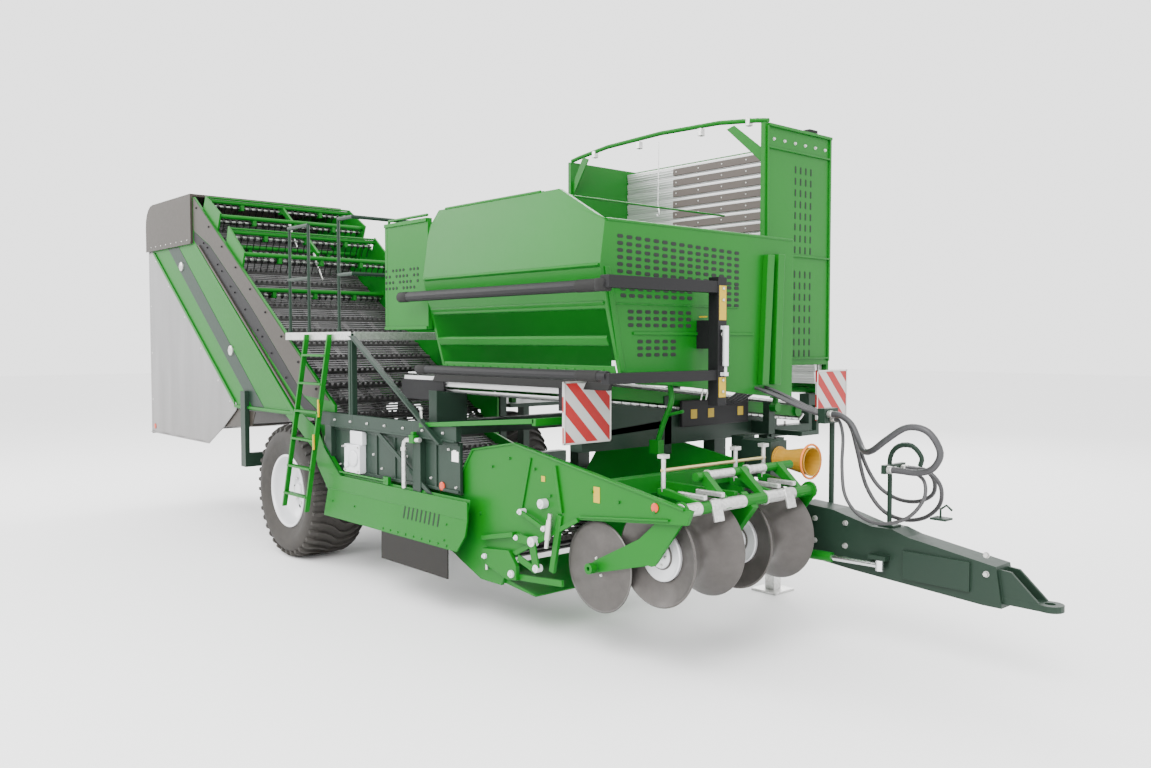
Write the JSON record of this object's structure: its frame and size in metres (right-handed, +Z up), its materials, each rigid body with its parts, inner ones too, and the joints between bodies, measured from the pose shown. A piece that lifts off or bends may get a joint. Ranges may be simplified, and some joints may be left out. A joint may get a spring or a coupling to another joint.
{
  "type": "potato harvester",
  "caption": "Trailed potato harvester with digger, sieving webs, bunker, folding unloading elevator, swinging drawbar and steered wheels.",
  "frame": {"origin": "ground level, under the middle of the whole machine", "axes": "+X forward to the towing eye, +Y to the machine's left, +Z up"},
  "size_m": [10.78, 3.2997, 4.045],
  "materials": {
    "green_paint": "gloss, bright green",
    "dark_green_paint": "satin, dark green",
    "tyre": "matt black rubber",
    "rim_silver": "satin silver-white",
    "bare_steel": "galvanised",
    "rubber": "matt",
    "web_rubber": "matt, with steel bars",
    "hose_rubber": "semi-matt",
    "chrome_rod": "polished",
    "disc_steel": "worn grey-brown steel",
    "grey_brown_panel": "satin grey-brown",
    "curtain_sheet": "matt light grey sheet",
    "aluminium_slat": "ribbed, with a dark middle face",
    "marker_board": "red and white stripes",
    "yellow_plastic": "yellow"
  },
  "bodies": {
    "chassis": {"main_frame": "dark_green_paint", "axle_beam": "dark_green_paint", "right_side_wall": "dark_green_paint", "right_guard": "green_paint", "rubber_flap": "rubber", "elevator_side_right": "green_paint", "elevator_side_left": "green_paint", "elevator_web": "web_rubber", "rear_hood": "grey_brown_panel", "rear_curtain": "curtain_sheet", "haulm_comb_upper": "green_paint", "haulm_comb_lower": "green_paint", "platform": "dark_green_paint", "picking_platform": "dark_green_paint", "picking_table": "green_paint", "bunker": "green_paint", "bunker_floor": "aluminium_slat", "elevator_cover": "green_paint", "side_guard": "dark_green_paint", "marker_board_right": "marker_board", "marker_board_left": "marker_board", "input_gearbox": "dark_green_paint", "pto_guard": "yellow_plastic", "jack_tube": "dark_green_paint"},
    "right_knuckle": {"right_knuckle": "dark_green_paint"},
    "left_knuckle": {"left_knuckle": "dark_green_paint"},
    "tie_rod": {"tie_rod": "bare_steel"},
    "right_wheel": {"right_tyre": "tyre", "right_rim": "rim_silver"},
    "left_wheel": {"left_tyre": "tyre", "left_rim": "rim_silver"},
    "drawbar": {"drawbar": "dark_green_paint", "hose_post": "dark_green_paint", "hose_carrier": "dark_green_paint", "hose_bundle": "hose_rubber", "hose_low": "hose_rubber", "hose_right": "hose_rubber", "hose_left": "hose_rubber"},
    "steer_barrel": {"steer_cylinder_barrel": "green_paint"},
    "steer_rod": {"steer_cylinder_rod": "chrome_rod"},
    "digger": {"digger_side_right": "green_paint", "digger_side_left": "green_paint", "digger_web": "web_rubber", "share": "green_paint", "digger_cross_beam": "green_paint"},
    "lift_barrel": {"lift_cylinder_barrel": "green_paint"},
    "lift_rod": {"lift_cylinder_rod": "chrome_rod"},
    "row_frame": {"row_frame": "green_paint"},
    "right_diabolo": {"right_diabolo": "disc_steel"},
    "left_diabolo": {"left_diabolo": "disc_steel"},
    "right_coulter": {"right_coulter": "disc_steel"},
    "left_coulter": {"left_coulter": "disc_steel"},
    "ladder": {"ladder": "green_paint"},
    "unloader": {"unload_frame": "green_paint", "unload_floor": "aluminium_slat", "unload_hoop": "green_paint"},
    "ram_barrel": {"unload_ram_barrel": "green_paint"},
    "ram_rod": {"unload_ram_rod": "chrome_rod"},
    "pto_shaft": {"pto_shaft": "bare_steel"},
    "jack_leg": {"jack_leg": "bare_steel"}
  },
  "joints": [
    {"name": "right_steer", "type": "hinge", "parent": "chassis", "child": "right_knuckle", "pos_m": [-1.35, -0.8, 0.66479], "axis": [0, 0, 1], "range_deg": [-10, 10]},
    {"name": "left_steer", "type": "hinge", "parent": "chassis", "child": "left_knuckle", "pos_m": [-1.35, 0.8, 0.66479], "axis": [0, 0, 1], "range_deg": [-10, 10]},
    {"name": "tie_rod_pin", "type": "hinge", "parent": "right_knuckle", "child": "tie_rod", "pos_m": [-1.62, -0.8, 0.52779], "axis": [0, 0, 1], "range_deg": [-10, 10]},
    {"name": "right_wheel_spin", "type": "hinge", "parent": "right_knuckle", "child": "right_wheel", "pos_m": [-1.35, -1.18, 0.66479], "axis": [0, 1, 0], "continuous": true},
    {"name": "left_wheel_spin", "type": "hinge", "parent": "left_knuckle", "child": "left_wheel", "pos_m": [-1.35, 1.18, 0.66479], "axis": [0, 1, 0], "continuous": true},
    {"name": "drawbar_swing", "type": "hinge", "parent": "chassis", "child": "drawbar", "pos_m": [3.42, 0.32, 0.8], "axis": [0, 0, 1], "range_deg": [-10, 10]},
    {"name": "steer_cylinder_swivel", "type": "hinge", "parent": "chassis", "child": "steer_barrel", "pos_m": [3.4, 0.1, 0.64], "axis": [0, 0, 1], "range_deg": [-9.62, 9.62]},
    {"name": "steer_rod_slide", "type": "slide", "parent": "steer_barrel", "child": "steer_rod", "axis": [0.9966, 0.0821, 0], "range_m": [-0.0383, 0.0383]},
    {"name": "digger_lift", "type": "hinge", "parent": "chassis", "child": "digger", "pos_m": [-0.3, -0.66, 1.3], "axis": [0, 1, 0], "range_deg": [0, 8]},
    {"name": "lift_cylinder_swivel", "type": "hinge", "parent": "chassis", "child": "lift_barrel", "pos_m": [1.21, 0.135, 1.44], "axis": [0, 1, 0], "range_deg": [0, 15.43]},
    {"name": "lift_rod_slide", "type": "slide", "parent": "lift_barrel", "child": "lift_rod", "axis": [0.7819, 0, -0.6234], "range_m": [0, 0.167]},
    {"name": "row_tilt", "type": "hinge", "parent": "digger", "child": "row_frame", "pos_m": [3.8, -0.66, 1.12], "axis": [0, 1, 0], "range_deg": [-3, 8]},
    {"name": "right_diabolo_spin", "type": "hinge", "parent": "row_frame", "child": "right_diabolo", "pos_m": [3.55, -1.035, 0.8], "axis": [0, 1, 0], "continuous": true},
    {"name": "left_diabolo_spin", "type": "hinge", "parent": "row_frame", "child": "left_diabolo", "pos_m": [3.55, -0.285, 0.8], "axis": [0, 1, 0], "continuous": true},
    {"name": "right_coulter_spin", "type": "hinge", "parent": "row_frame", "child": "right_coulter", "pos_m": [3.05, -1.3, 0.65], "axis": [0, 1, 0], "continuous": true},
    {"name": "left_coulter_spin", "type": "hinge", "parent": "row_frame", "child": "left_coulter", "pos_m": [3.05, -0.02, 0.65], "axis": [0, 1, 0], "continuous": true},
    {"name": "ladder_fold", "type": "hinge", "parent": "chassis", "child": "ladder", "pos_m": [-0.58, -1.4803, 2.215], "axis": [-1, 0, 0], "range_deg": [0, 150]},
    {"name": "unloader_fold", "type": "hinge", "parent": "chassis", "child": "unloader", "pos_m": [1.64, 1.62, 1.72], "axis": [-1, 0, 0], "range_deg": [0, 80]},
    {"name": "ram_swivel", "type": "hinge", "parent": "chassis", "child": "ram_barrel", "pos_m": [2.95, 0.74, 1.62], "axis": [-1, 0, 0], "range_deg": [0, 56.04]},
    {"name": "ram_rod_slide", "type": "slide", "parent": "ram_barrel", "child": "ram_rod", "axis": [0, 0.081, 0.9967], "range_m": [0, 0.9117]},
    {"name": "pto_spin", "type": "hinge", "parent": "chassis", "child": "pto_shaft", "pos_m": [3.3, 0.32, 1.27], "axis": [1, 0, 0], "continuous": true},
    {"name": "jack_slide", "type": "slide", "parent": "chassis", "child": "jack_leg", "axis": [0, 0, 1], "range_m": [0, 0.4]}
  ],
  "couplings": [
    {"joint": "left_steer", "follows": "right_steer", "ratio": 1},
    {"joint": "tie_rod_pin", "follows": "right_steer", "ratio": -1},
    {"joint": "steer_cylinder_swivel", "follows": "drawbar_swing", "ratio": 0.9566},
    {"joint": "steer_rod_slide", "follows": "drawbar_swing", "m_per_rad": 0.2167},
    {"joint": "lift_cylinder_swivel", "follows": "digger_lift", "ratio": 1.9164},
    {"joint": "lift_rod_slide", "follows": "digger_lift", "m_per_rad": 1.1887},
    {"joint": "ram_swivel", "follows": "unloader_fold", "ratio": 0.6942},
    {"joint": "ram_rod_slide", "follows": "unloader_fold", "m_per_rad": 0.6494}
  ]
}
